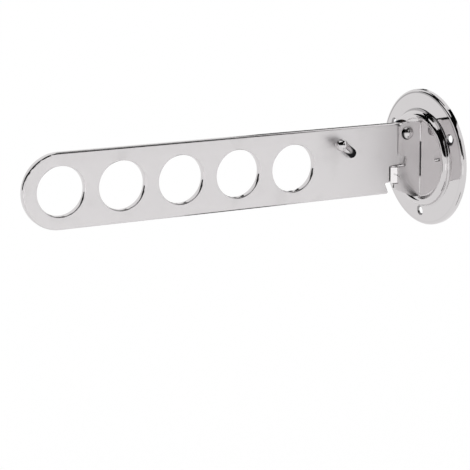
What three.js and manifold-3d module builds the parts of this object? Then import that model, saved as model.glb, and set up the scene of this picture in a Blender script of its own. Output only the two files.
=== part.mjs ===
// Wall mounted clothes valet: a flat chromed arm with five hanger holes, which hangs on a bracket
// standing out of a round wall rosette and folds up against the wall on one rivet.
// Lengths are millimetres. The wall is the plane y = 0, the arm points along -Y and +Z is up.
// The origin is the centre of the rosette's back, on the wall.

import * as THREE from 'three';
import { mergeVertices } from 'three/addons/utils/BufferGeometryUtils.js';
import Module from 'manifold-3d';

const wasm = await Module();
wasm.setup();

// Clearances and cutting
const gap = 0.3;
const cutOverrun = 1;
const mergeDistance = 1e-4;
const chordError = 0.02;
const roundSteps = 72;
const smallSteps = 28;
const edgeSteps = 2;

// Rosette, a dished stamping with a raised round bead
const rosetteSheet = 1;
const flangeWidth = 14;
const flangeHeight = 3;
const rimRounding = 1.3;
const beadOverRoot = 3;
const beadCrestHeight = 6.9;
const beadRounding = 2.6;
const beadFootFillet = 0.9;
const hubFaceHeight = 5;
const hubFillet = 0.8;
const screwHoleDiameter = 3.6;
const screwSinkDiameter = 5.4;
const screwMargin = 0.1;
const screwCount = 3;

// Backing disc behind the middle of the rosette
const backingInset = 6.1;
const backingThickness = 2;

// Bracket plate, with its tongue through the rosette
const bracketSheet = 2;
const topOverPivot = 6.2;
const rootDrop = 0.8;
const earOverPivot = 4.8;
const earOverRelief = 2.6;
const heelInset = 1.1;
const heelHeight = 2.7;
const toeDrop = 6.3;
const toeLength = 4;
const bracketRootRounding = 1.2;
const earRounding = 2.5;
const notchRounding = 0.8;
const reliefInset = 0.2;
const reliefHeight = 4.9;
const reliefSlant = 1.2;
const slitHeight = 0.5;
const slitDepth = 0.8;
const tongueHeight = 18.6;
const tongueCentre = 0.2;
const stakeSpread = 0.9;

// Stop tab, sloped off the bracket's face and then bent back, with a short relief cut at its root
const stopOverPivot = 9.8;
const tabOverArmEdge = 6.7;
const tabHeight = 8.8;
const tabSlopeLength = 3.2;
const tabSlopeDrop = 1.9;
const reliefCutLength = 4;
const reliefCutWidth = 0.9;
const reliefCutOverTab = 4.3;
const reliefCutLean = THREE.MathUtils.degToRad(28);

// Pivot
const pivotReach = 14;
const pivotHeight = 15.7;
const rivetShankRadius = 2.5;
const rivetHeadRadius = 3.8;
const rivetHeadHeight = 2.4;
const rivetTailRadius = 4.2;
const rivetTailHeight = 1.4;
const springWasherRadius = 6.5;
const springWasherSheet = 0.5;
const springWasherCone = 0.5;
const flatWasherRadius = 6;
const flatWasherThickness = 0.8;

// Arm
const armRise = THREE.MathUtils.degToRad(2.3);
const armWidth = 40;
const tipMargin = 0.7;
const armThickness = 4;
const armEdgeRounding = 0.7;
const armEdgeOverPivot = 5.5;
const armRootRadius = 8;
const stepInset = 0.8;
const heelNotchDepth = 3;
const heelCornerInset = 0.6;
const armCornerRounding = 1;
const armFillet = 0.5;
const hangerHoleDiameter = 26;
const hangerHolePitch = 34;
const hangerHoleCount = 5;
const innerHoleOverPeg = 36;

// Peg, bent up and outwards from the arm's face, with a ball end
const pegOverPivot = 36.3;
const pegOverMiddle = 5.9;
const pegShankRadius = 1.8;
const pegFootRadius = 2.8;
const pegNeckRadius = 2.6;
const pegBallRadius = 3.5;
const pegElbowRise = 1.2;
const pegBallRise = 5;
const pegBallOut = 8.9;
const pegBallUp = 5.9;
const pegTailRadius = 3;
const pegTailHeight = 1;

// Places worked out from the sizes above
const armFace = -gap;
const armBack = armFace - armThickness;
const armMiddle = pivotHeight + armEdgeOverPivot - armWidth / 2;
const pegReach = pivotReach + pegOverPivot;
const pegHeight = armMiddle + pegOverMiddle;
const innerHoleReach = pegReach + innerHoleOverPeg;
const outerHoleReach = innerHoleReach + (hangerHoleCount - 1) * hangerHolePitch;
const stopReach = pivotReach + stopOverPivot;
const tabBottom = armMiddle - armWidth / 2 + tabOverArmEdge;
const tabTop = tabBottom + tabHeight;
const tabBendReach = stopReach - tabSlopeLength;
const bracketRoot = hubFaceHeight + gap;
const bracketTop = pivotHeight + topOverPivot;
const bracketRootTop = bracketTop - rootDrop;
const bracketEarReach = pivotReach + earOverPivot;
const bracketHeelReach = stopReach - heelInset;
const bracketHeelHeight = tabBottom - slitHeight - heelHeight;
const bracketBottom = bracketHeelHeight - toeDrop;
const reliefReach = pivotReach - reliefInset;
const reliefTop = tabTop + reliefHeight;
const beadRadius = beadOverRoot + Math.max(bracketRootTop, -bracketBottom);
const backingRadius = beadRadius - backingInset;
const beadFootRadius = beadRadius + beadRounding + beadFootFillet;
const rosetteRadius = beadRadius + flangeWidth;
const screwCircleRadius = beadFootRadius + screwMargin + screwSinkDiameter / 2;
const webBack = hubFaceHeight - rosetteSheet;

// Finishes
const metal = (color, roughness) =>
  new THREE.MeshStandardMaterial({ color, roughness, metalness: 1 });
const polishedChrome = () => metal(0xd3d4d6, 0.08);
const zincPlate = () => metal(0xb4b8bb, 0.4);
const springSteel = () => metal(0x8f9396, 0.35);

// Points along an arc, both ends included, close enough for the chord error
function arc(x, y, radius, from, to) {
  const widest = 2 * Math.acos(1 - chordError / Math.max(radius, 2 * chordError));
  const steps = Math.ceil(Math.abs(to - from) / widest);
  return Array.from({ length: steps + 1 }, (_, i) => {
    const angle = from + ((to - from) * i) / steps;
    return new THREE.Vector2(x + radius * Math.cos(angle), y + radius * Math.sin(angle));
  });
}

// A polygon given as [x, y, rounding] corners, each corner rounded by its own radius
function rounded(corners) {
  return corners.flatMap(([x, y, radius = 0], i) => {
    const corner = new THREE.Vector2(x, y);
    if (radius === 0) return [corner];
    const [px, py] = corners[(i + corners.length - 1) % corners.length];
    const [nx, ny] = corners[(i + 1) % corners.length];
    const back = new THREE.Vector2(px, py).sub(corner).normalize();
    const ahead = new THREE.Vector2(nx, ny).sub(corner).normalize();
    const half = Math.acos(back.dot(ahead)) / 2;
    const centre = back.clone().add(ahead).normalize().multiplyScalar(radius / Math.sin(half)).add(corner);
    const start = back.clone().multiplyScalar(radius / Math.tan(half)).add(corner).sub(centre);
    const end = ahead.clone().multiplyScalar(radius / Math.tan(half)).add(corner).sub(centre);
    const turn = Math.atan2(start.cross(end), start.dot(end));
    return arc(centre.x, centre.y, radius, start.angle(), start.angle() + turn);
  });
}

// A round hole for a shape
function roundHole(x, y, radius, steps) {
  return new THREE.Path(
    Array.from({ length: steps }, (_, i) => {
      const angle = (2 * Math.PI * i) / steps;
      return new THREE.Vector2(x + radius * Math.cos(angle), y + radius * Math.sin(angle));
    }),
  );
}

// A plate cut to an outline, its thickness running from one depth to another
function plate(outline, holes, from, to) {
  const shape = new THREE.Shape(outline);
  shape.holes.push(...holes);
  const geometry = new THREE.ExtrudeGeometry(shape, { depth: to - from, bevelEnabled: false });
  return geometry.translate(0, 0, from);
}

// A turned piece: a closed or on-axis profile of [radius, height] points round the local Y axis
function turned(profile, steps) {
  return new THREE.LatheGeometry(profile, steps);
}

function toSolid(geometry) {
  const bare = geometry.clone();
  bare.deleteAttribute('normal');
  bare.deleteAttribute('uv');
  const merged = mergeVertices(bare, mergeDistance);
  return new wasm.Manifold(
    new wasm.Mesh({
      numProp: 3,
      vertProperties: new Float32Array(merged.attributes.position.array),
      triVerts: new Uint32Array(merged.index.array),
    }),
  );
}

function toGeometry(solid) {
  const mesh = solid.getMesh();
  const geometry = new THREE.BufferGeometry();
  geometry.setAttribute('position', new THREE.BufferAttribute(mesh.vertProperties, 3));
  geometry.setIndex(new THREE.BufferAttribute(mesh.triVerts, 1));
  geometry.computeVertexNormals();
  return geometry;
}

function cut(body, tools) {
  return toGeometry(tools.reduce((solid, tool) => solid.subtract(toSolid(tool)), toSolid(body)));
}

function union(pieces) {
  return pieces.map(toSolid).reduce((whole, piece) => whole.add(piece));
}

function named(name, geometry, material) {
  const mesh = new THREE.Mesh(geometry, material);
  mesh.name = name;
  return mesh;
}

// The slot for the bracket's tongue, as a cutter along the wall's normal (local Y)
function tongueSlot(height) {
  const cutter = new THREE.BoxGeometry(bracketSheet + 2 * gap, height, tongueHeight + 2 * gap);
  return cutter.translate(-bracketSheet / 2, 0, tongueCentre);
}

// Rosette: local Y is the height over the wall; front and back faces share their arc centres
function rosetteFace(inset) {
  const beadCentre = beadCrestHeight - beadRounding;
  const filletHeight = hubFaceHeight + hubFillet;
  const reach = beadRounding + hubFillet;
  const filletRadius = beadRadius - Math.sqrt(reach ** 2 - (filletHeight - beadCentre) ** 2);
  const meet = Math.atan2(filletHeight - beadCentre, filletRadius - beadRadius);
  return [
    ...arc(filletRadius, filletHeight, hubFillet + inset, -Math.PI / 2, meet - Math.PI),
    ...arc(beadRadius, beadCentre, beadRounding - inset, meet, 0),
    ...arc(beadFootRadius, beadCentre, beadFootFillet + inset, Math.PI, (3 * Math.PI) / 2),
    ...arc(rosetteRadius - rimRounding, flangeHeight - rimRounding, rimRounding - inset, Math.PI / 2, 0),
    new THREE.Vector2(rosetteRadius - inset, 0),
  ];
}

function wallRosette() {
  const front = [new THREE.Vector2(0, hubFaceHeight), ...rosetteFace(0)];
  const back = [new THREE.Vector2(0, webBack), ...rosetteFace(rosetteSheet)];
  const body = turned([...back, ...front.reverse()], roundSteps);
  const screwTools = Array.from({ length: screwCount }, (_, i) => {
    const angle = -Math.PI / 2 + (2 * Math.PI * i) / screwCount;
    return screwTool().translate(
      screwCircleRadius * Math.cos(angle), 0, screwCircleRadius * Math.sin(angle));
  });
  const slot = tongueSlot(2 * (hubFaceHeight + cutOverrun));
  return named('wall_rosette', cut(body, [...screwTools, slot]), polishedChrome());
}

// Cutter for one countersunk screw hole in the flange
function screwTool() {
  const bore = screwHoleDiameter / 2;
  const sink = screwSinkDiameter / 2;
  const top = flangeHeight + cutOverrun;
  const profile = [
    new THREE.Vector2(0, -cutOverrun),
    new THREE.Vector2(bore, -cutOverrun),
    new THREE.Vector2(bore, flangeHeight - sink + bore),
    new THREE.Vector2(sink, flangeHeight),
    new THREE.Vector2(sink, top),
    new THREE.Vector2(0, top),
  ];
  return turned(profile, smallSteps);
}

function backingDisc() {
  const top = webBack - gap;
  const body = new THREE.CylinderGeometry(backingRadius, backingRadius, backingThickness, roundSteps);
  body.translate(0, top - backingThickness / 2, 0);
  const slot = tongueSlot(2 * (top + cutOverrun));
  return named('backing_disc', cut(body, [slot]), zincPlate());
}

// Bracket: drawn with local x towards the wall, local y up and its thickness towards local z
function bracketPlate() {
  const root = -bracketRoot;
  const stakeFace = -(webBack - 2 * gap - backingThickness);
  const tongueTop = tongueCentre + tongueHeight / 2;
  const tongueBottom = tongueCentre - tongueHeight / 2;
  const slitReach = tabBendReach - slitDepth;
  const outline = rounded([
    [root, bracketRootTop, bracketRootRounding],
    [-bracketEarReach, bracketTop, earRounding],
    [-bracketEarReach, reliefTop + earOverRelief, notchRounding],
    [-reliefReach, reliefTop, notchRounding],
    [-reliefReach - reliefSlant, tabTop, notchRounding],
    [-tabBendReach, tabTop],
    [-tabBendReach, tabBottom],
    [-slitReach, tabBottom],
    [-slitReach, tabBottom - slitHeight],
    [-bracketHeelReach, tabBottom - slitHeight],
    [-bracketHeelReach, bracketHeelHeight, notchRounding],
    [root - toeLength, bracketBottom, bracketRootRounding],
    [root, bracketBottom, bracketRootRounding],
    [root, tongueBottom],
    [stakeFace, tongueBottom],
    [stakeFace, tongueTop],
    [root, tongueTop],
  ]);
  const rivetHole = roundHole(-pivotReach, pivotHeight, rivetShankRadius + gap, smallSteps);
  const flat = plate(outline, [rivetHole], 0, bracketSheet);
  const solid = union([flat, stopTab(slitReach), stakedEnd(stakeFace)]);
  return named('bracket_plate', toGeometry(solid.subtract(toSolid(reliefCut()))), polishedChrome());
}

// Cutter for the short leaning cut at the root of the stop tab
function reliefCut() {
  const depth = bracketSheet + 2 * cutOverrun;
  const cutter = new THREE.BoxGeometry(reliefCutLength, reliefCutWidth, depth);
  cutter.rotateZ(-reliefCutLean);
  return cutter.translate(-tabBendReach, tabBottom + reliefCutOverTab, bracketSheet / 2);
}

// The stop tab's section is drawn across the plate and runs along the tab's height
function stopTab(startReach) {
  const innerDrop = tabSlopeDrop * (1 - bracketSheet / tabSlopeLength);
  const section = [
    new THREE.Vector2(-startReach, 0),
    new THREE.Vector2(-startReach, bracketSheet),
    new THREE.Vector2(-tabBendReach, bracketSheet),
    new THREE.Vector2(-stopReach, bracketSheet - tabSlopeDrop),
    new THREE.Vector2(-stopReach, armBack),
    new THREE.Vector2(bracketSheet - stopReach, armBack),
    new THREE.Vector2(bracketSheet - stopReach, -innerDrop),
    new THREE.Vector2(-tabBendReach, 0),
  ];
  const tab = plate(section, [], 0, tabHeight);
  return tab.rotateX(Math.PI / 2).translate(0, tabTop, 0);
}

// The tongue's end is spread over the backing disc
function stakedEnd(face) {
  const thickness = -face - gap;
  const box = new THREE.BoxGeometry(
    thickness, tongueHeight + 2 * stakeSpread, bracketSheet + 2 * stakeSpread);
  return box.translate(face + thickness / 2, tongueCentre, bracketSheet / 2);
}

// A place given by its reach and height at rest, as a point of the arm drawn level round the pivot
function onArm(reach, height) {
  const place = new THREE.Vector2(pivotReach - reach, height - pivotHeight);
  return place.rotateAround(new THREE.Vector2(0, 0), armRise);
}

// Arm: drawn round the pivot, local x towards the wall, local y up
function armOutline() {
  const tip = pivotReach - outerHoleReach - tipMargin;
  const middle = armMiddle - pivotHeight;
  const bottom = middle - armWidth / 2;
  const inner = onArm(pivotReach - stepInset, tabTop + gap);
  const step = onArm(stopReach + gap, tabTop + gap);
  const seatEnd = onArm(stopReach + gap, tabBottom);
  const notch = onArm(stopReach + gap + heelNotchDepth, tabBottom);
  const corner = pivotReach - stopReach + heelCornerInset;
  const topAngle = Math.asin(armEdgeOverPivot / armRootRadius);
  const tangentAngle = inner.angle() - 2 * Math.PI + Math.acos(armRootRadius / inner.length());
  const rootArc = arc(0, 0, armRootRadius, topAngle, tangentAngle);
  const tangent = rootArc.at(-1);
  const heel = rounded([
    [tangent.x, tangent.y],
    [inner.x, inner.y, armCornerRounding],
    [step.x, step.y, armFillet],
    [seatEnd.x, seatEnd.y, armCornerRounding],
    [notch.x, notch.y, armFillet],
    [corner, bottom, armCornerRounding],
    [tip, bottom],
    [tip, middle],
  ]);
  return [
    ...rootArc,
    ...heel.slice(1, -2),
    ...arc(tip, middle, armWidth / 2, -Math.PI / 2, (-3 * Math.PI) / 2),
  ];
}

function armPlate() {
  const shape = new THREE.Shape(armOutline());
  const middle = armMiddle - pivotHeight;
  for (let i = 0; i < hangerHoleCount; i += 1) {
    const reach = innerHoleReach + i * hangerHolePitch;
    shape.holes.push(roundHole(pivotReach - reach, middle, hangerHoleDiameter / 2, 2 * smallSteps));
  }
  const body = new THREE.ExtrudeGeometry(shape, {
    depth: armThickness - 2 * armEdgeRounding,
    bevelThickness: armEdgeRounding,
    bevelSize: armEdgeRounding,
    bevelOffset: -armEdgeRounding,
    bevelSegments: edgeSteps,
  });
  body.translate(0, 0, armBack + armEdgeRounding);
  const through = armThickness + 2 * cutOverrun;
  const rivetTool = boreTool(rivetShankRadius + gap, through);
  const pegTool = boreTool(pegShankRadius + gap, through);
  pegTool.translate(pivotReach - pegReach, pegHeight - pivotHeight, 0);
  return named('arm_plate', cut(body, [rivetTool, pegTool]), polishedChrome());
}

// A cutter through the arm, along local z
function boreTool(radius, length) {
  const tool = new THREE.CylinderGeometry(radius, radius, length, smallSteps);
  return tool.rotateX(Math.PI / 2).translate(0, 0, (armFace + armBack) / 2);
}

// Rivet, local Y along the pivot's axis: domed head over the bracket, formed tail behind the washers
function pivotRivet() {
  const seat = bracketSheet + gap;
  const tailFace = rivetTailSeat();
  const domeRadius = (rivetHeadRadius ** 2 + rivetHeadHeight ** 2) / (2 * rivetHeadHeight);
  const domeAngle = Math.asin(rivetHeadRadius / domeRadius);
  const dome = arc(0, seat + rivetHeadHeight - domeRadius, domeRadius, Math.PI / 2 - domeAngle, Math.PI / 2);
  const profile = [
    new THREE.Vector2(0, tailFace - rivetTailHeight),
    new THREE.Vector2(rivetTailRadius - rivetTailHeight / 2, tailFace - rivetTailHeight),
    new THREE.Vector2(rivetTailRadius, tailFace - rivetTailHeight / 2),
    new THREE.Vector2(rivetTailRadius, tailFace),
    new THREE.Vector2(rivetShankRadius, tailFace),
    new THREE.Vector2(rivetShankRadius, seat),
    ...dome,
  ];
  return named('pivot_rivet', turned(profile, smallSteps), polishedChrome());
}

function flatWasherSeat() {
  return armBack - 2 * gap - springWasherSheet - springWasherCone;
}

function rivetTailSeat() {
  return flatWasherSeat() - flatWasherThickness - gap;
}

// Cone washer that keeps the pivot tight
function springWasher() {
  const bore = rivetShankRadius + gap;
  const top = armBack - gap;
  const profile = [
    new THREE.Vector2(bore, top - springWasherSheet - springWasherCone),
    new THREE.Vector2(springWasherRadius, top - springWasherSheet),
    new THREE.Vector2(springWasherRadius, top),
    new THREE.Vector2(bore, top - springWasherCone),
    new THREE.Vector2(bore, top - springWasherSheet - springWasherCone),
  ];
  return named('spring_washer', turned(profile, smallSteps), springSteel());
}

function flatWasher() {
  const bore = rivetShankRadius + gap;
  const top = flatWasherSeat();
  const profile = [
    new THREE.Vector2(bore, top - flatWasherThickness),
    new THREE.Vector2(flatWasherRadius, top - flatWasherThickness),
    new THREE.Vector2(flatWasherRadius, top),
    new THREE.Vector2(bore, top),
    new THREE.Vector2(bore, top - flatWasherThickness),
  ];
  return named('flat_washer', turned(profile, smallSteps), zincPlate());
}

// Peg: riveted tail behind the arm, shank, foot, elbow, tapered neck and ball, along local z
function hookPeg() {
  const foot = armFace + gap;
  const tailFace = armBack - gap;
  const elbow = new THREE.Vector3(0, 0, armFace + pegElbowRise);
  const ball = new THREE.Vector3(-pegBallOut, pegBallUp, armFace + pegBallRise);
  const neck = ball.clone().sub(elbow);
  const lean = new THREE.Quaternion().setFromUnitVectors(
    new THREE.Vector3(0, 1, 0), neck.clone().normalize());
  const neckPiece = new THREE.CylinderGeometry(pegNeckRadius, pegFootRadius, neck.length(), smallSteps);
  neckPiece.translate(0, neck.length() / 2, 0).applyQuaternion(lean).translate(elbow.x, elbow.y, elbow.z);
  const shankLength = foot - tailFace + cutOverrun;
  const roomSide = 2 * (pegBallOut + pegFootRadius);
  const armRoom = new THREE.BoxGeometry(roomSide, roomSide, roomSide);
  armRoom.translate(0, 0, foot - roomSide / 2);
  const shank = new THREE.CylinderGeometry(pegShankRadius, pegShankRadius, shankLength, smallSteps);
  shank.rotateX(Math.PI / 2).translate(0, 0, tailFace - cutOverrun / 2 + shankLength / 2);
  const footPiece = new THREE.CylinderGeometry(
    pegFootRadius, pegFootRadius, elbow.z - foot, smallSteps);
  footPiece.rotateX(Math.PI / 2).translate(0, 0, (elbow.z + foot) / 2);
  const elbowPiece = new THREE.SphereGeometry(pegFootRadius, smallSteps, smallSteps / 2);
  elbowPiece.rotateX(Math.PI / 2).translate(elbow.x, elbow.y, elbow.z);
  const ballPiece = new THREE.SphereGeometry(pegBallRadius, smallSteps, smallSteps / 2);
  ballPiece.translate(ball.x, ball.y, ball.z);
  const tail = new THREE.CylinderGeometry(
    pegTailRadius, pegTailRadius - pegTailHeight / 2, pegTailHeight, smallSteps);
  tail.rotateX(Math.PI / 2).translate(0, 0, tailFace - pegTailHeight / 2);
  const pin = union([footPiece, elbowPiece, neckPiece, ballPiece]).subtract(toSolid(armRoom));
  const geometry = toGeometry(pin.add(union([tail, shank])));
  return named('hook_peg', geometry, polishedChrome());
}

// Assembly
const valet = new THREE.Group();

const wallParts = new THREE.Group();
wallParts.rotation.z = Math.PI;
wallParts.add(wallRosette(), backingDisc());

const plates = new THREE.Group();
plates.quaternion.setFromRotationMatrix(
  new THREE.Matrix4().makeBasis(
    new THREE.Vector3(0, 1, 0), new THREE.Vector3(0, 0, 1), new THREE.Vector3(1, 0, 0)),
);

const pivotAxis = new THREE.Group();
pivotAxis.position.set(-pivotReach, pivotHeight, 0);
pivotAxis.rotation.x = Math.PI / 2;
pivotAxis.add(pivotRivet(), springWasher(), flatWasher());

const foldingArm = new THREE.Group();
foldingArm.position.set(-pivotReach, pivotHeight, 0);
foldingArm.rotation.z = -armRise;
const peg = hookPeg();
peg.position.set(pivotReach - pegReach, pegHeight - pivotHeight, 0);
foldingArm.add(armPlate(), peg);

plates.add(bracketPlate(), pivotAxis, foldingArm);
valet.add(wallParts, plates);

export default valet;
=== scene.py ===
# %% [markdown]
# # A wall mounted clothes valet
# This lesson dresses a CAD model of a chromed valet hook: a flat arm with five hanger holes, on a
# bracket that stands out of a round wall rosette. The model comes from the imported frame, in metres:
# the wall is the plane y = 0, the arm points along -Y and +Z is up.

import math

import bpy
from mathutils import Matrix, Vector


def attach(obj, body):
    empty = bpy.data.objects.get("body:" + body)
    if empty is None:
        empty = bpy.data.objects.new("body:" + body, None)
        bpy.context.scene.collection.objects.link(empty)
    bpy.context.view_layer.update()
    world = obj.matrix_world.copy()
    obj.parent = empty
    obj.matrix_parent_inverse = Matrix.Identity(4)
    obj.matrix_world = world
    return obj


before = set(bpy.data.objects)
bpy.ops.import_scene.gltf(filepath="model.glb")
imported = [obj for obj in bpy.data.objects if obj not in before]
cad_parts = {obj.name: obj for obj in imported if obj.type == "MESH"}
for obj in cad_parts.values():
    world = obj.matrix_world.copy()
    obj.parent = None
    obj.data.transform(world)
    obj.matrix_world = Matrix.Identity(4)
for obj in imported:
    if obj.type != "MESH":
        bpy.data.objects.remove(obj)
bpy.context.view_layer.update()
print("pieces in the frame:", ", ".join(sorted(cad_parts)))

# %% [markdown]
# ## Camera
# The camera was solved from the photograph: its place in millimetres, the turn round the vertical, the
# look down and a small roll. A long lens, so the rosette's far rim is hardly smaller than its near one.

# %% Camera
MM = 0.001
CAMERA_PLACE = Vector((748.0155, -533.8033, 211.6468)) * MM
CAMERA_TURN = math.radians(61.271)
CAMERA_PITCH = math.radians(15.670)
CAMERA_ROLL = math.radians(-0.878)
IMAGE_WIDTH = 470
FOCAL_PIXELS = 1652.787
SENSOR_WIDTH = 36

right = Vector((math.cos(CAMERA_TURN), math.sin(CAMERA_TURN), 0))
back = Vector((
    math.sin(CAMERA_TURN) * math.cos(CAMERA_PITCH),
    -math.cos(CAMERA_TURN) * math.cos(CAMERA_PITCH),
    math.sin(CAMERA_PITCH),
))
up = back.cross(right)
rolled_right = math.cos(CAMERA_ROLL) * right + math.sin(CAMERA_ROLL) * up
rolled_up = math.cos(CAMERA_ROLL) * up - math.sin(CAMERA_ROLL) * right
axes = Matrix((rolled_right, rolled_up, back)).transposed().to_4x4()

camera = bpy.data.objects.new("camera", bpy.data.cameras.new("camera"))
bpy.context.scene.collection.objects.link(camera)
camera.matrix_world = Matrix.Translation(CAMERA_PLACE) @ axes
camera.data.sensor_width = SENSOR_WIDTH
camera.data.lens = FOCAL_PIXELS / IMAGE_WIDTH * SENSOR_WIDTH
camera.data.dof.use_dof = False
bpy.context.scene.camera = camera
bpy.context.scene.view_settings.view_transform = "Standard"
print("lens", round(camera.data.lens, 1), "mm")

# %% [markdown]
# ## Surround
# Polished chrome has no look of its own: it shows the room. The photograph was taken in a white room,
# so one plain white background lights everything from all sides.

# %% White room
WHITE = (1, 1, 1, 1)
ROOM_STRENGTH = 1.0

world = bpy.data.worlds.new("white_room")
bpy.context.scene.world = world
world.use_nodes = True
nodes, links = world.node_tree.nodes, world.node_tree.links
nodes.clear()
out = nodes.new("ShaderNodeOutputWorld")
background = nodes.new("ShaderNodeBackground")
background.inputs["Color"].default_value = WHITE
background.inputs["Strength"].default_value = ROOM_STRENGTH
links.new(background.outputs[0], out.inputs["Surface"])
print("world", world.name, "strength", ROOM_STRENGTH)

# %% [markdown]
# ### Floor
# A plain pale sheet well below the hook. It keeps the object's soft shadow, and chrome that looks down
# shows it. Matt paint has no gloss, so its material has no specular part.

# %% Floor
FLOOR_HEIGHT = -0.35
FLOOR_HALF = 6.0
FLOOR_ROUGHNESS = 0.9
CORNER_SIGNS = ((-1, -1), (1, -1), (1, 1), (-1, 1))


def matt(name, color, roughness):
    """A material without gloss."""
    material = bpy.data.materials.new(name)
    material.use_nodes = True
    shader = material.node_tree.nodes["Principled BSDF"]
    shader.inputs["Base Color"].default_value = color
    shader.inputs["Roughness"].default_value = roughness
    shader.inputs["Specular IOR Level"].default_value = 0.0
    return material


floor_mesh = bpy.data.meshes.new("floor")
floor_mesh.from_pydata(
    [(x * FLOOR_HALF, y * FLOOR_HALF, FLOOR_HEIGHT) for x, y in CORNER_SIGNS], [], [(0, 1, 2, 3)])
floor_mesh.materials.append(matt("floor_paint", WHITE, FLOOR_ROUGHNESS))
floor = bpy.data.objects.new("floor", floor_mesh)
bpy.context.scene.collection.objects.link(floor)
print("floor at", FLOOR_HEIGHT, "m,", 2 * FLOOR_HALF, "m square")

# %% [markdown]
# ## Black cards
# In an all white room chrome turns flat grey. Photographers stand black cards outside the picture, so
# that every bend picks up a dark line, and a softbox where a face should shine. The two kinds of card
# need only the plainest materials.

# %% Materials of the cards
CARD_BLACK = (0.004, 0.004, 0.004, 1)
SOFTBOX_STRENGTH = 1.35

black = matt("black_card", CARD_BLACK, 1.0)
softbox = bpy.data.materials.new("softbox")
softbox.use_nodes = True
softbox_shader = softbox.node_tree.nodes["Principled BSDF"]
softbox_shader.inputs["Base Color"].default_value = (0, 0, 0, 1)
softbox_shader.inputs["Emission Color"].default_value = WHITE
softbox_shader.inputs["Emission Strength"].default_value = SOFTBOX_STRENGTH
print("cards:", black.name, "and", softbox.name)

# %% [markdown]
# ### How a card is made
# A card is a strip of a sphere round the object. Each of its columns is an azimuth and the elevations
# of its two ends. It shows only in reflections: the camera doesn't see it, and it shades nothing.

# %% Card maker
ROOM_DISTANCE = 1.5


def direction(azimuth, elevation):
    """Azimuth 0 points along -Y and 90 along +X, in degrees."""
    a, e = math.radians(azimuth), math.radians(elevation)
    return Vector((math.sin(a) * math.cos(e), -math.cos(a) * math.cos(e), math.sin(e)))


def curtain(name, columns, centre=(0, 0, 0), distance=ROOM_DISTANCE, material=black):
    """A card round the centre; its columns are (azimuth, low elevation, high elevation)."""
    corners = [
        Vector(centre) + distance * direction(azimuth, elevation)
        for azimuth, low, high in columns for elevation in (low, high)]
    faces = [(2 * i, 2 * i + 2, 2 * i + 3, 2 * i + 1) for i in range(len(columns) - 1)]
    mesh = bpy.data.meshes.new(name)
    mesh.from_pydata([tuple(corner) for corner in corners], [], faces)
    mesh.materials.append(material)
    card = bpy.data.objects.new(name, mesh)
    bpy.context.scene.collection.objects.link(card)
    card.visible_camera = False
    card.visible_diffuse = False
    card.visible_shadow = False
    card.visible_transmission = False


print("card azimuth 90 lies along", tuple(round(part) for part in direction(90, 0)))

# %% [markdown]
# ### Cards round the room
# Following a dark line of the photograph back from the chrome gives the direction of its card. The
# front one draws the black band of the bead, the right one that of the rim, the others the arm's top
# edge and the ends of its holes.

# %% Cards round the room
curtain("curtain_front", [
    (-55, -5, 52), (-45, -4, 60), (-38, 8, 58), (-30, 11, 44), (-20, 15, 43), (-8, 20, 45),
    (2, 16, 52), (8, 7, 56), (30, 6, 60), (50, 7, 68), (72, 8, 71), (95, 8, 72)])
curtain("curtain_right", [
    (95, 42, 72), (112, 43, 74), (130, 44, 75), (150, 48, 77), (168, 44, 74), (182, 38, 66)])
curtain("curtain_arm_edge", [(99, 3, 33), (111, 3, 34), (122, 3, 35)])
curtain("curtain_left", [(-118, 50, 68), (-95, 50, 68), (-72, 51, 66), (-53, 50, 60)])
curtain("curtain_far_left", [(-122, 23, 42), (-102, 23, 42)])
curtain("curtain_top_edges", [(-150, 3, 18), (-134, 3, 18), (-116, 5, 18)])

# %% [markdown]
# ### Cards close by
# Nearer cards change fewer places: a small dark one and a softbox low beside the arm, and three cards
# round the peg, which give its little ball and its neck their own dark sides. None of them stands where
# the folding arm passes.

# %% Cards close by
NEAR_DISTANCE = 1.0
PEG_PLACE = (0.009, -0.05, 0.02)

curtain("curtain_blob", [(-13, -18, -8), (-3, -18, -8)], distance=NEAR_DISTANCE)
curtain("curtain_behind_peg", [(151, -46, -30), (167, -46, -30)], PEG_PLACE, distance=0.4)
curtain("curtain_under_peg", [(104, -68, -46), (128, -68, -46)], PEG_PLACE, distance=0.35)
curtain("curtain_over_peg", [
    (-175, 62, 84), (-150, 60, 86), (-120, 58, 88), (-90, 58, 88), (-60, 60, 86)],
    PEG_PLACE, distance=0.25)
curtain("softbox_right", [(60, -19, -6), (82, -19, -6)], distance=NEAR_DISTANCE, material=softbox)
print("near cards round the peg at", PEG_PLACE)

# %% [markdown]
# ## Smooth normals
# The CAD solids are faceted. Joining their split corners and shading every edge under thirty degrees
# smooth gives the bead, the rivet's dome and the arm's end the even curve of pressed steel, while the
# real edges stay crisp. Weighting the normals by area keeps the flat faces flat up to their edges.

# %% Smoothing nodes
SMOOTH_ANGLE = math.radians(30)

smoother = bpy.data.node_groups.new("smooth_under_angle", "GeometryNodeTree")
smoother.interface.new_socket("Geometry", in_out="INPUT", socket_type="NodeSocketGeometry")
smoother.interface.new_socket("Geometry", in_out="OUTPUT", socket_type="NodeSocketGeometry")
group_in = smoother.nodes.new("NodeGroupInput")
group_out = smoother.nodes.new("NodeGroupOutput")
edge_angle = smoother.nodes.new("GeometryNodeInputMeshEdgeAngle")
is_soft = smoother.nodes.new("FunctionNodeCompare")
is_soft.operation = "LESS_THAN"
is_soft.inputs[1].default_value = SMOOTH_ANGLE
smooth_faces = smoother.nodes.new("GeometryNodeSetShadeSmooth")
smooth_faces.domain = "FACE"
smooth_faces.inputs["Shade Smooth"].default_value = True
smooth_edges = smoother.nodes.new("GeometryNodeSetShadeSmooth")
smooth_edges.domain = "EDGE"
smoother.links.new(group_in.outputs[0], smooth_faces.inputs["Geometry"])
smoother.links.new(smooth_faces.outputs[0], smooth_edges.inputs["Geometry"])
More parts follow.
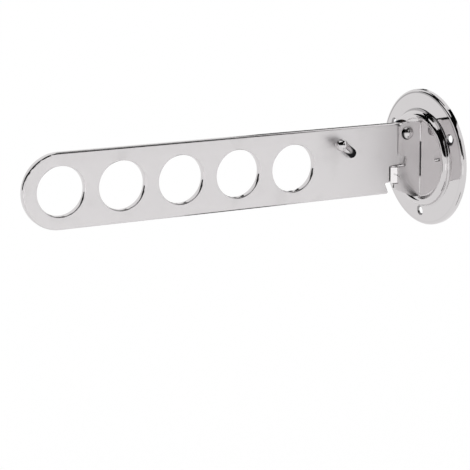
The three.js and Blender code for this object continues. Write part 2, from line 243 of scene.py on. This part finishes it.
smoother.links.new(edge_angle.outputs["Unsigned Angle"], is_soft.inputs[0])
smoother.links.new(is_soft.outputs[0], smooth_edges.inputs["Shade Smooth"])
smoother.links.new(smooth_edges.outputs[0], group_out.inputs[0])
print("group", smoother.name)

# %% [markdown]
# ### Smooth every CAD piece
# The same three modifiers go on each piece, and none of them moves a corner.

# %% Smooth the CAD pieces
WELD_DISTANCE = 2e-6


def smooth(obj):
    weld = obj.modifiers.new("weld", "WELD")
    weld.merge_threshold = WELD_DISTANCE
    shade = obj.modifiers.new("smooth", "NODES")
    shade.node_group = smoother
    weigh = obj.modifiers.new("weighted_normals", "WEIGHTED_NORMAL")
    weigh.keep_sharp = True


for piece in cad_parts.values():
    smooth(piece)
print("smoothed", len(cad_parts), "pieces")

# %% [markdown]
# ## Building blocks of the finishes
# Each effect below is a node group with named sockets, so that several metals can share it. The groups
# only hand out masks and normals; the metal's shader itself stays in each material.

# %% Helpers for node trees
def node(tree, kind, **settings):
    made = tree.nodes.new(kind)
    for name, value in settings.items():
        setattr(made, name, value)
    return made


def feed(tree, socket, value):
    """Set a socket to a plain value, or link it to another node's output."""
    if isinstance(value, bpy.types.NodeSocket):
        tree.links.new(value, socket)
    else:
        socket.default_value = value


def group(name, inputs):
    """An empty node group; its inputs are (name, kind of socket, value or None)."""
    tree = bpy.data.node_groups.new(name, "ShaderNodeTree")
    for label, kind, value in inputs:
        socket = tree.interface.new_socket(label, in_out="INPUT", socket_type=kind)
        if value is not None:
            socket.default_value = value
    return tree, tree.nodes.new("NodeGroupInput")


def give(tree, label, kind, value):
    """Hand the value out of a node group, under the label."""
    tree.interface.new_socket(label, in_out="OUTPUT", socket_type=kind)
    tree.links.new(value, tree.nodes.new("NodeGroupOutput").inputs[label])
    print("group", tree.name)


print("helpers:", ", ".join(f.__name__ for f in (node, feed, group, give)))

# %% [markdown]
# ### Small sums
# Masks are sums of numbers between zero and one, so a few short functions for them keep the rest
# readable.

# %% Sums with nodes
def calculate(tree, operation, first, second=None, clamp=False):
    made = node(tree, "ShaderNodeMath", operation=operation, use_clamp=clamp)
    feed(tree, made.inputs[0], first)
    if second is not None:
        feed(tree, made.inputs[1], second)
    return made.outputs[0]


def plus(tree, first, second):
    return calculate(tree, "ADD", first, second)


def times(tree, first, second):
    return calculate(tree, "MULTIPLY", first, second)


def minus(tree, first, second, clamp=False):
    return calculate(tree, "SUBTRACT", first, second, clamp)


def larger(tree, first, second):
    return calculate(tree, "MAXIMUM", first, second)


def size_of(tree, value):
    return calculate(tree, "ABSOLUTE", value)


def rise(tree, value, low, high):
    """Zero below low, one above high, smooth between."""
    made = node(tree, "ShaderNodeMapRange", interpolation_type="SMOOTHSTEP")
    for label, number in (("Value", value), ("From Min", low), ("From Max", high)):
        feed(tree, made.inputs[label], number)
    return made.outputs["Result"]


def split(tree, vector):
    """The X, Y and Z of a vector."""
    made = node(tree, "ShaderNodeSeparateXYZ")
    tree.links.new(vector, made.inputs[0])
    return made.outputs


print("sums:", ", ".join(f.__name__ for f in (plus, times, minus, larger, size_of, rise, split)))

# %% [markdown]
# ### Hairline scratches
# Wiping a chromed part with a cloth leaves hairlines, far finer than a millimetre and mostly along the
# part. Stretched noise, of which only the peaks are kept, draws them.

# %% Hairline scratches
HAIR_SCALE = 40.0
HAIR_PEAKS = (0.6, 0.74)


def noise(tree, vector, scale, detail, roughness=0.55):
    made = node(tree, "ShaderNodeTexNoise")
    made.inputs["Scale"].default_value = scale
    made.inputs["Detail"].default_value = detail
    made.inputs["Roughness"].default_value = roughness
    tree.links.new(vector, made.inputs["Vector"])
    return made.outputs["Fac"]


hairlines, given = group("hairlines", [
    ("Vector", "NodeSocketVector", None), ("Stretch", "NodeSocketVector", (60.0, 3.0, 60.0))])
stretched = node(hairlines, "ShaderNodeVectorMath", operation="MULTIPLY")
hairlines.links.new(given.outputs["Vector"], stretched.inputs[0])
hairlines.links.new(given.outputs["Stretch"], stretched.inputs[1])
scratches = noise(hairlines, stretched.outputs[0], HAIR_SCALE, detail=2.0)
give(hairlines, "Mask", "NodeSocketFloat", rise(hairlines, scratches, *HAIR_PEAKS))

# %% [markdown]
# ### Smudges
# Fingers leave dull patches on chrome. A cloudy noise with soft steps marks where they lie.

# %% Smudges
SMUDGE_SCALE = 55.0

smudges, given = group("smudges", [
    ("Vector", "NodeSocketVector", None), ("Low", "NodeSocketFloat", 0.52),
    ("High", "NodeSocketFloat", 0.7)])
clouds = noise(smudges, given.outputs["Vector"], SMUDGE_SCALE, detail=5.0, roughness=0.6)
patches = rise(smudges, clouds, given.outputs["Low"], given.outputs["High"])
give(smudges, "Mask", "NodeSocketFloat", patches)

# %% [markdown]
# ### Orange peel
# Plated sheet isn't optically flat: the reflections wobble a little. A shallow, slow bump does the
# same. Raw metal gets a fine grain on top.

# %% Orange peel
PEEL_DEPTH = 0.0001
SLOW_SCALE = 90.0
FINE_SCALE = 1400.0

peel, given = group("orange_peel", [
    ("Vector", "NodeSocketVector", None), ("Strength", "NodeSocketFloat", 0.02),
    ("Fine", "NodeSocketFloat", 0.0)])
slow = noise(peel, given.outputs["Vector"], SLOW_SCALE, detail=1.0)
fine = noise(peel, given.outputs["Vector"], FINE_SCALE, detail=2.0)
bump = node(peel, "ShaderNodeBump")
bump.inputs["Distance"].default_value = PEEL_DEPTH
peel.links.new(given.outputs["Strength"], bump.inputs["Strength"])
peel.links.new(plus(peel, slow, times(peel, fine, given.outputs["Fine"])), bump.inputs["Height"])
give(peel, "Normal", "NodeSocketVector", bump.outputs["Normal"])

# %% [markdown]
# ### Creases
# The foot of the bead, the inside of the rolled rim and the rivet's foot get a thin dark line of
# painted shade. The mask is a ring round the Y axis of the vector it is given.

# %% Crease rings
RING_FADE = (0.25, 1.0)

shade_ring, given = group("painted_shade_ring", [
    ("Vector", "NodeSocketVector", None), ("Radius", "NodeSocketFloat", 0.03),
    ("Width", "NodeSocketFloat", 0.0005)])
ring_x, _, ring_z = split(shade_ring, given.outputs["Vector"])
squares = plus(shade_ring, times(shade_ring, ring_x, ring_x), times(shade_ring, ring_z, ring_z))
off_ring = size_of(shade_ring, minus(shade_ring, calculate(shade_ring, "SQRT", squares), given.outputs["Radius"]))
share = calculate(shade_ring, "DIVIDE", off_ring, given.outputs["Width"])
ring = minus(shade_ring, 1.0, rise(shade_ring, share, *RING_FADE), clamp=True)
give(shade_ring, "Mask", "NodeSocketFloat", ring)

# %% [markdown]
# ### Faces and edges
# The flat faces of the arm and the bracket were ground before plating, the edges only tumbled. The mask
# is one on faces that look along X and zero on the edges round them and in the holes.

# %% Flat faces
FLAT_FACING = (0.97, 0.995)


def object_normal(tree, kind):
    """The surface's normal in the object's own axes, so that it turns with the piece."""
    surface = node(tree, "ShaderNodeNewGeometry")
    turned = node(
        tree, "ShaderNodeVectorTransform",
        vector_type="NORMAL", convert_from="WORLD", convert_to="OBJECT")
    tree.links.new(surface.outputs[kind], turned.inputs[0])
    return turned.outputs[0]


flat, _ = group("flat_faces", [])
facing = size_of(flat, split(flat, object_normal(flat, "True Normal"))["X"])
give(flat, "Mask", "NodeSocketFloat", rise(flat, facing, *FLAT_FACING))

# %% [markdown]
# ## Metals
# Everything in sight is chromed steel. The colours are what chrome keeps of white light: about two
# thirds, a shade warmer than grey. Ground faces scatter more of it back than polished ones.

# %% Tools for the metals
CHROME = (0.638, 0.619, 0.624, 1)
SATIN_CHROME = (0.79, 0.768, 0.774, 1)
SATIN_PLATE = (0.73, 0.71, 0.715, 1)


def use(tree, kind, vector=None, **values):
    """Put a node group into a material's tree."""
    made = node(tree, "ShaderNodeGroup", node_tree=kind)
    if vector is not None:
        tree.links.new(vector, made.inputs["Vector"])
    for name, value in values.items():
        made.inputs[name].default_value = value
    return made.outputs[0]


def mix_color(tree, mask, first, second):
    made = node(tree, "ShaderNodeMix", data_type="RGBA")
    factor, color_a, color_b = (made.inputs[i] for i in (0, 6, 7))
    for socket, value in ((factor, mask), (color_a, first), (color_b, second)):
        feed(tree, socket, value)
    return made.outputs[2]


def new_metal(name):
    material = bpy.data.materials.new(name)
    material.use_nodes = True
    tree = material.node_tree
    shader = tree.nodes["Principled BSDF"]
    shader.inputs["Metallic"].default_value = 1
    return material, tree, shader, node(tree, "ShaderNodeTexCoord").outputs["Object"]


print("chrome", CHROME[:3], "satin", SATIN_CHROME[:3], "plate", SATIN_PLATE[:3])

# %% [markdown]
# ### The chrome
# One recipe serves all five pieces. The rosette is polished to a mirror; the arm and the bracket are
# duller on their flat faces, which is why the rosette's image in them is only a soft grey shade.
# Hairlines and smudges add a little roughness, and the smudges also a hint of their own colour.

# %% The chrome
SMUDGE = (0.42, 0.4, 0.38, 1)
SMUDGE_TINT = 0.05
CHROME_WOBBLE = 0.02
ALONG_ARM = (60.0, 3.0, 60.0)
TURNED = (20.0, 20.0, 20.0)
WIPED = (25.0, 25.0, 25.0)


def chrome(name, edge, face=None, tint=CHROME, hair=0.05, smudge=0.06, stretch=ALONG_ARM):
    """Chromed steel. Edge and face are roughnesses, hair and smudge are what those add to them."""
    material, tree, shader, place = new_metal(name)
    hair_mask = use(tree, hairlines, place, Stretch=stretch)
    smudge_mask = use(tree, smudges, place)
    color, rough = CHROME, edge
    if face is not None:
        flat_mask = use(tree, flat)
        color = mix_color(tree, flat_mask, CHROME, tint)
        rough = plus(tree, edge, times(tree, flat_mask, face - edge))
    rough = plus(tree, rough, times(tree, hair_mask, hair))
    rough = plus(tree, rough, times(tree, smudge_mask, smudge))
    smudged = mix_color(tree, times(tree, smudge_mask, SMUDGE_TINT), color, SMUDGE)
    tree.links.new(rough, shader.inputs["Roughness"])
    tree.links.new(smudged, shader.inputs["Base Color"])
    tree.links.new(use(tree, peel, place, Strength=CHROME_WOBBLE), shader.inputs["Normal"])
    return material


arm_chrome = chrome("satin_chrome_arm", edge=0.1, face=0.44, tint=SATIN_CHROME)
bracket_chrome = chrome("satin_chrome_bracket", edge=0.08, face=0.28, tint=SATIN_PLATE)
rivet_chrome = chrome("tumbled_chrome_rivet", edge=0.2, stretch=TURNED)
peg_chrome = chrome("polished_chrome_peg", edge=0.08, stretch=TURNED)
rosette_chrome = chrome("mirror_chrome_rosette", edge=0.05, hair=0.03, smudge=0.03, stretch=WIPED)
for metal in (arm_chrome, bracket_chrome, rivet_chrome, peg_chrome, rosette_chrome):
    print("metal", metal.name)

# %% [markdown]
# ### Painted shade in the rosette's creases
# The rings of painted shade lie on the bead's foot and on the rim. They are darker towards the top
# of the rosette.

# %% Creases of the rosette
BEAD_FOOT_RADIUS = 0.0277
BEAD_FOOT_WIDTH = 0.0007
RIM_RADIUS = 0.0369
RIM_WIDTH = 0.0006
# Painted shade: how dark the rings are, and how much darker they get towards the top.
SHADE_BELOW = 0.07
SHADE_RISE = 0.55
SHADE_HEIGHTS = (0.0, 0.022)


def layers_of(material):
    """What a further layer on a metal needs: its tree, shader, object coordinates and colour so far."""
    tree = material.node_tree
    shader = tree.nodes["Principled BSDF"]
    place = next(n for n in tree.nodes if n.type == "TEX_COORD").outputs["Object"]
    return tree, shader, place, shader.inputs["Base Color"].links[0].from_socket


tree, shader, place, color_so_far = layers_of(rosette_chrome)
foot_ring = use(tree, shade_ring, place, Radius=BEAD_FOOT_RADIUS, Width=BEAD_FOOT_WIDTH)
rim_ring = use(tree, shade_ring, place, Radius=RIM_RADIUS, Width=RIM_WIDTH)
side, _, height = split(tree, place)
strength = plus(tree, SHADE_BELOW, times(tree, rise(tree, height, *SHADE_HEIGHTS), SHADE_RISE))
painted_shade = times(tree, larger(tree, foot_ring, rim_ring), strength)
print("creases at radius", BEAD_FOOT_RADIUS, "and", RIM_RADIUS, "m")

# %% [markdown]
# ### Screw sinks
# The three countersinks get a thin ring of painted shade.

# %% Screw sinks
# The colour of the painted shade in the rosette's creases and countersinks.
PAINTED_CREASE_SHADE = (0.2, 0.195, 0.2, 1)
SCREW_CIRCLE = 0.0309
SCREW_ANGLES = (30, 150, 270)
SINK_RADIUS = 0.0024
SINK_WIDTH = 0.0007
SINK_SHADE = 0.75


def from_screw(tree, place, angle):
    """Object coordinates that start at the screw hole at this angle."""
    a = math.radians(angle)
    moved = node(tree, "ShaderNodeVectorMath", operation="SUBTRACT")
    moved.inputs[1].default_value = (SCREW_CIRCLE * math.cos(a), 0, SCREW_CIRCLE * math.sin(a))
    tree.links.new(place, moved.inputs[0])
    return moved.outputs[0]


# Each countersink gets a ring of painted shade.
for angle in SCREW_ANGLES:
    sink_ring = use(tree, shade_ring, from_screw(tree, place, angle), Radius=SINK_RADIUS, Width=SINK_WIDTH)
    painted_shade = larger(tree, painted_shade, times(tree, sink_ring, SINK_SHADE))
crease_shaded = mix_color(tree, painted_shade, color_so_far, PAINTED_CREASE_SHADE)
print("sinks at", SCREW_ANGLES, "degrees")

# %% [markdown]
# ### Painted shade in the slot and on a lip
# Two places of the rosette are painted almost black as shade: the open part of the slot beside the
# bracket's face and the lower lip of the upper right sink.

# %% Painted shade in the slot and on the lip
# The black of the painted shade in the slot, on the lip and at the rivet's foot.
PAINTED_SHADE_BLACK = (0.02, 0.02, 0.021, 1)
LIP_RADIUS = 0.0029
LIP_WIDTH = 0.0013
LIP_SIDE = (0.5, 0, -0.87)
LIP_FADE = (0.0002, 0.0016)
SLOT_PLACE = 0.0024
SLOT_FADE = (0.0003, 0.00048)
SLOT_ENDS = (0.0096, 0.0099)


def toward(tree, vector, axis):
    """How far the vector points along the axis."""
    made = node(tree, "ShaderNodeVectorMath", operation="DOT_PRODUCT")
    made.inputs[1].default_value = axis
    tree.links.new(vector, made.inputs[0])
    return made.outputs["Value"]


sink = from_screw(tree, place, SCREW_ANGLES[0])
lip_ring = use(tree, shade_ring, sink, Radius=LIP_RADIUS, Width=LIP_WIDTH)
lip = times(tree, lip_ring, rise(tree, toward(tree, sink, LIP_SIDE), *LIP_FADE))
beside = minus(tree, 1.0, rise(tree, size_of(tree, minus(tree, side, SLOT_PLACE)), *SLOT_FADE))
inside = minus(tree, 1.0, rise(tree, size_of(tree, height), *SLOT_ENDS))
# Painted shade: the slot and the lip are mixed towards black.
dark = larger(tree, lip, times(tree, beside, inside))
tree.links.new(mix_color(tree, dark, crease_shaded, PAINTED_SHADE_BLACK), shader.inputs["Base Color"])
print("open slot of", 2 * SLOT_ENDS[1], "m at x", SLOT_PLACE)

# %% [markdown]
# ### The rivet's foot
# Where the rivet's head meets the plate, the side away from the wall gets a crescent of painted shade.

# %% Painted shade at the rivet's foot
PIVOT_Y, PIVOT_Z = -0.014, 0.0157
RIVET_FOOT_RADIUS = 0.0036
RIVET_FOOT_WIDTH = 0.0008
CRESCENT_LEAN = 0.6
CRESCENT_FADE = (0.0004, 0.0026)

tree, shader, place, color_so_far = layers_of(rivet_chrome)
_, rivet_y, rivet_z = split(tree, place)
along = minus(tree, rivet_y, PIVOT_Y)
over = minus(tree, rivet_z, PIVOT_Z)
swapped = node(tree, "ShaderNodeCombineXYZ")
tree.links.new(along, swapped.inputs["X"])
tree.links.new(over, swapped.inputs["Z"])
foot_ring = use(tree, shade_ring, swapped.outputs[0], Radius=RIVET_FOOT_RADIUS, Width=RIVET_FOOT_WIDTH)
# Painted shade: a dark crescent on the outer side of the rivet's foot.
outward = times(tree, plus(tree, along, times(tree, over, CRESCENT_LEAN)), -1.0)
foot = times(tree, foot_ring, rise(tree, outward, *CRESCENT_FADE))
tree.links.new(mix_color(tree, foot, color_so_far, PAINTED_SHADE_BLACK), shader.inputs["Base Color"])
print("dark crescent at radius", RIVET_FOOT_RADIUS, "m round the pivot")

# %% [markdown]
# ### The peg's side towards the arm
# The peg stands close to the bright arm, which glares in the underside of its ball. A brighter chrome
# there does the same.

# %% Bright side of the peg
BRIGHT_CHROME = (0.96, 0.95, 0.955, 1)
ARM_SIDE_FADE = (0.0, 0.4)

tree, shader, place, color_so_far = layers_of(peg_chrome)
peg_normal = object_normal(tree, "Normal")
to_arm = times(tree, split(tree, peg_normal)["X"], -1.0)
brighter = mix_color(tree, rise(tree, to_arm, *ARM_SIDE_FADE), color_so_far, BRIGHT_CHROME)
print("brighter chrome", BRIGHT_CHROME[:3])

# %% [markdown]
# ### The peg's neck
# The wall side of the short neck under the ball and the ring where the neck meets the arm get painted
# shade: there the peg is almost black and doesn't shine.

# %% Painted shade on the peg's neck
NECK_PAINTED_SHADE = (0.012, 0.012, 0.013, 1)
WALL_SIDE = (0.35, 0.9, -0.26)
WALL_SIDE_FADE = (-0.3, 0.1)
NECK_ENDS = (0.0042, 0.0052)
FOOT_ENDS = (0.0003, 0.0009)
TAIL_ENDS = (-0.0043, -0.00215)

height = split(tree, place)["X"]
wall_side = rise(tree, toward(tree, peg_normal, WALL_SIDE), *WALL_SIDE_FADE)
below_ball = minus(tree, 1.0, rise(tree, height, *NECK_ENDS))
at_foot = minus(tree, 1.0, rise(tree, height, *FOOT_ENDS))
# Painted shade on the neck's wall side and round its foot, which also stops it shining there.
dark = larger(tree, times(tree, wall_side, below_ball), at_foot)
dark = times(tree, dark, rise(tree, height, *TAIL_ENDS))
tree.links.new(mix_color(tree, dark, brighter, NECK_PAINTED_SHADE), shader.inputs["Base Color"])
tree.links.new(minus(tree, 1.0, dark), shader.inputs["Metallic"])
shader.inputs["Specular IOR Level"].default_value = 0.0
print("dark neck up to", NECK_ENDS[1], "m off the arm's middle")

# %% [markdown]
# ## Zinc and spring steel
# The parts behind the arm and inside the rosette aren't meant to be seen. The plain washer and the
# backing disc are zinc plated, with the cloudy grain of zinc; the cone washer is blued spring steel.

# %% Zinc and spring steel
ZINC_LIGHT = (0.5, 0.52, 0.55, 1)
ZINC_DARK = (0.36, 0.38, 0.41, 1)
BLUED = (0.13, 0.14, 0.17, 1)
BLUED_BROWN = (0.2, 0.16, 0.13, 1)
GRAINS_PER_CLOUD = 6
GRAIN_FADE = (0.1, 0.45)
GRAIN_ROUGH, GRAIN_HAIR = 0.12, 0.06
RAW_WOBBLE, RAW_FINE = 0.15, 0.6


def grained(name, first, second, roughness, grain):
    """Raw metal whose two colours change from grain to grain."""
    material, tree, shader, place = new_metal(name)
    cells = node(tree, "ShaderNodeTexVoronoi")
    cells.inputs["Scale"].default_value = grain
    tree.links.new(place, cells.inputs["Vector"])
    cloud = noise(tree, place, grain / GRAINS_PER_CLOUD, detail=4.0)
    grains = calculate(tree, "MULTIPLY", cells.outputs["Distance"], cloud, clamp=True)
    mask = rise(tree, grains, *GRAIN_FADE)
    rough = plus(tree, roughness, times(tree, mask, GRAIN_ROUGH))
    hair = times(tree, use(tree, hairlines, place, Stretch=TURNED), GRAIN_HAIR)
    tree.links.new(mix_color(tree, mask, first, second), shader.inputs["Base Color"])
    tree.links.new(plus(tree, rough, hair), shader.inputs["Roughness"])
    tree.links.new(use(tree, peel, place, Strength=RAW_WOBBLE, Fine=RAW_FINE), shader.inputs["Normal"])
    return material


zinc = grained("zinc_plate", ZINC_LIGHT, ZINC_DARK, 0.34, 900.0)
spring = grained("blued_spring_steel", BLUED, BLUED_BROWN, 0.32, 600.0)
print("metals:", zinc.name, "and", spring.name)

# %% [markdown]
# ## Which piece gets which metal
# Each CAD piece keeps its one material slot, and only the material in it is changed.

# %% Hand out the metals
finish = {
    "wall_rosette": rosette_chrome,
    "bracket_plate": bracket_chrome,
    "arm_plate": arm_chrome,
    "pivot_rivet": rivet_chrome,
    "hook_peg": peg_chrome,
    "backing_disc": zinc,
    "flat_washer": zinc,
    "spring_washer": spring,
}
for name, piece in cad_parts.items():
    for slot in piece.material_slots:
        slot.material = finish[name]
    print(name, "gets", finish[name].name)

# %% [markdown]
# ## Solder at the bracket's root
# The bracket goes through a slot in the rosette. Above and below the open part of the slot the real
# joint is filled before plating, and the filled corner shows as a light line. Each filler is a small
# concave strip that thins out at both ends.

# %% Solder strips
PLATE_FACE = 0.002
HUB_FACE = -0.005
FILLER_LEG = 0.0007
FILLER_SINK = 0.0002
END_SHARE = 0.15
TAPER = 6
ARC_STEPS = 8
LENGTH_STEPS = 24


def strip_row(t, z):
    """The strip's outline at the share t of its length, at height z."""
    leg = FILLER_LEG * (END_SHARE + (1 - END_SHARE) * math.sqrt(min(1.0, TAPER * min(t, 1 - t))))
    turns = [math.pi / 2 * j / ARC_STEPS for j in range(ARC_STEPS + 1)]
    arc = [(PLATE_FACE + leg * (1 - math.sin(a)), HUB_FACE - leg * (1 - math.cos(a)), z) for a in turns]
    return [(PLATE_FACE - FILLER_SINK, HUB_FACE + FILLER_SINK, z)] + arc


def filler(name, low, high):
    """A concave strip in the corner of bracket and rosette, from the height low to the height high."""
    steps = [i / LENGTH_STEPS for i in range(LENGTH_STEPS + 1)]
    corners = [corner for t in steps for corner in strip_row(t, low + (high - low) * t)]
    row = ARC_STEPS + 2
    faces = [
        (i * row + j, (i + 1) * row + j, (i + 1) * row + (j + 1) % row, i * row + (j + 1) % row)
        for i in range(LENGTH_STEPS) for j in range(row)]
    faces.append(tuple(range(row)))
    faces.append(tuple(LENGTH_STEPS * row + j for j in reversed(range(row))))
    mesh = bpy.data.meshes.new(name)
    mesh.from_pydata(corners, [], faces)
    mesh.materials.append(rivet_chrome)
    piece = bpy.data.objects.new(name, mesh)
    bpy.context.scene.collection.objects.link(piece)
    smooth(piece)
    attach(piece, "wall_bracket")


for name, low, high in (("root_filler_upper", 0.0098, 0.0206), ("root_filler_lower", -0.021, -0.0102)):
    filler(name, low, high)
    print(name, "from", low, "to", high)
